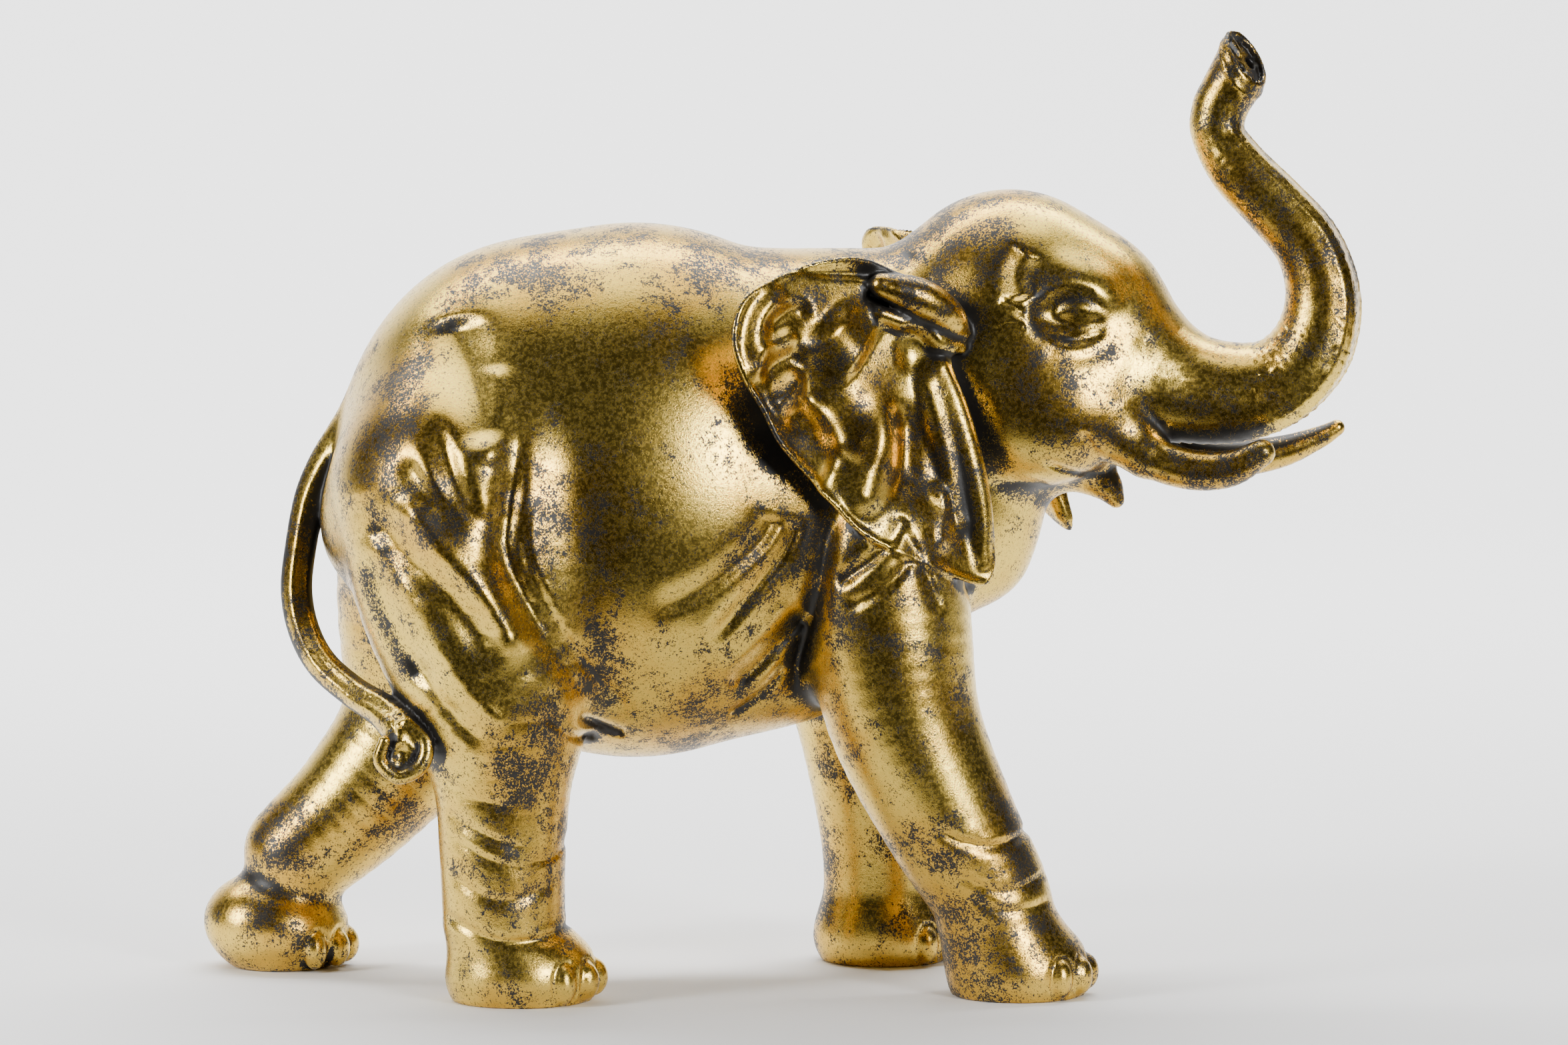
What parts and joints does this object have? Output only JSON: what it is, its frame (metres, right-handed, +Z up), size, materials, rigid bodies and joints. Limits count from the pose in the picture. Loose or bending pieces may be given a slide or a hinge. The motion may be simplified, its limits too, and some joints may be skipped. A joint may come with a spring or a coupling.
{
  "type": "resin elephant figurine",
  "caption": "Walking elephant figurine with a raised trunk, spread ears and short tusks, cast in one piece and finished in antique gold leaf over black.",
  "frame": {"origin": "on the ground, below the middle of the outline", "axes": "+X the way the elephant walks, +Y its left side, +Z up"},
  "size_m": [0.2574, 0.1108, 0.2128],
  "materials": {
    "gold_leaf": "cast resin with a black undercoat and polished antique gold leaf, rubbed through in the hollows"
  },
  "bodies": {
    "root": {"elephant": "gold_leaf"}
  },
  "joints": []
}
